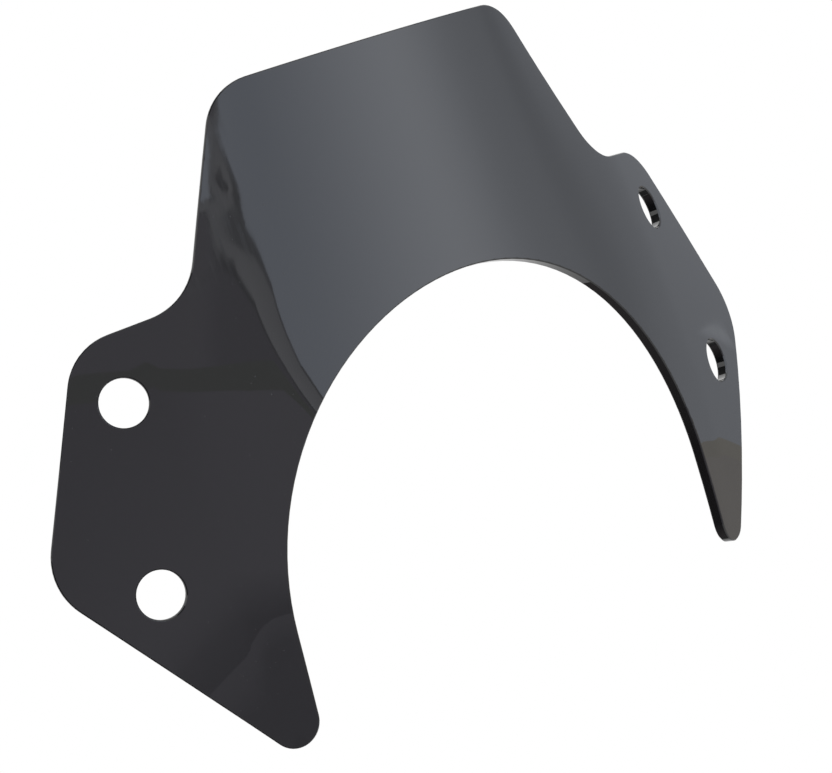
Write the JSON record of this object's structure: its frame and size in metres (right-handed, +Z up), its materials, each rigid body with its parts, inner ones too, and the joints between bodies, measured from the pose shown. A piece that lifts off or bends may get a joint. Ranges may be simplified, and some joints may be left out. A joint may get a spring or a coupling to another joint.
{
  "type": "motorbike headlight cowl",
  "caption": "One-piece pressed plastic cowl that frames a round headlamp, with an upper panel, swept-back side wings and clamp holes.",
  "frame": {"origin": "on the front face, on the centre line, at the centre of the round arch for the lamp", "axes": "+Z up along the centre line of the upper panel; the front faces -Y and the wings sweep back towards +Y; +X to the right as seen from the front"},
  "size_m": [0.2366, 0.0402, 0.1587],
  "materials": {
    "gloss_black": "polished black sheet"
  },
  "bodies": {
    "root": {"cowl": "gloss_black"}
  },
  "joints": []
}
